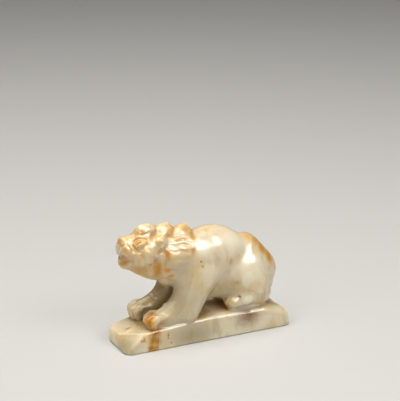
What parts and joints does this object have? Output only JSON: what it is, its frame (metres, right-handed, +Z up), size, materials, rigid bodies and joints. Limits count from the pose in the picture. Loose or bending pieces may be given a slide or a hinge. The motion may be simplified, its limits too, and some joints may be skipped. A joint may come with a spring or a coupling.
{
  "type": "carved jade lion figure",
  "caption": "Small crouching lion carved in pale jade with its low sloping plinth, one stone: curled mane, long forelegs, tail laid up the rump.",
  "frame": {"origin": "centre of the plinth's flat underside", "axes": "+Z up out of the plinth's top; the lion looks along -X, its tail is at +X and the side seen in the picture is at -Y"},
  "size_m": [0.072, 0.0214, 0.0486],
  "materials": {
    "jade": "waxy polish, pale cream with russet veins"
  },
  "bodies": {
    "root": {"jade_lion": "jade"}
  },
  "joints": []
}
